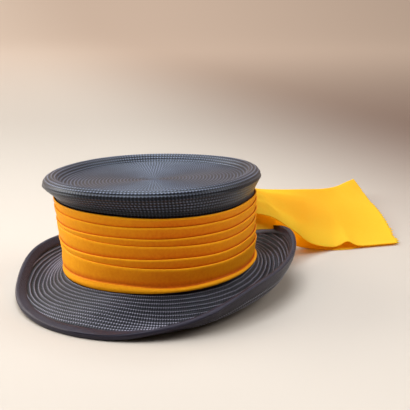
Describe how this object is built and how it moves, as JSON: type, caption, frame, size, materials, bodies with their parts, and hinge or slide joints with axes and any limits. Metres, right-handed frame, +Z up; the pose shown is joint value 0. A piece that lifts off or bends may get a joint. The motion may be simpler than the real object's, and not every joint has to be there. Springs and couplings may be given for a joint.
{
  "type": "postillion hat",
  "caption": "Dark sewn straw hat with a tapering flat-topped crown, a rolled brim, a pleated scarf band and a loose scarf tail.",
  "frame": {"origin": "middle of the head opening, on the plane of the table that the brim rests on", "axes": "-Y to the hat's front, +X to the side where the scarf's tail leaves the band, +Z up"},
  "size_m": [0.3432, 0.5835, 0.1195],
  "materials": {
    "straw": "dark sewn straw braid with a soft sheen",
    "ribbon": "dark smooth ribbon",
    "scarf": "yellow orange plain woven cloth"
  },
  "bodies": {
    "root": {"crown": "straw", "brim": "straw", "brim_binding": "ribbon", "hat_band": "scarf", "scarf_tail": "scarf"}
  },
  "joints": []
}
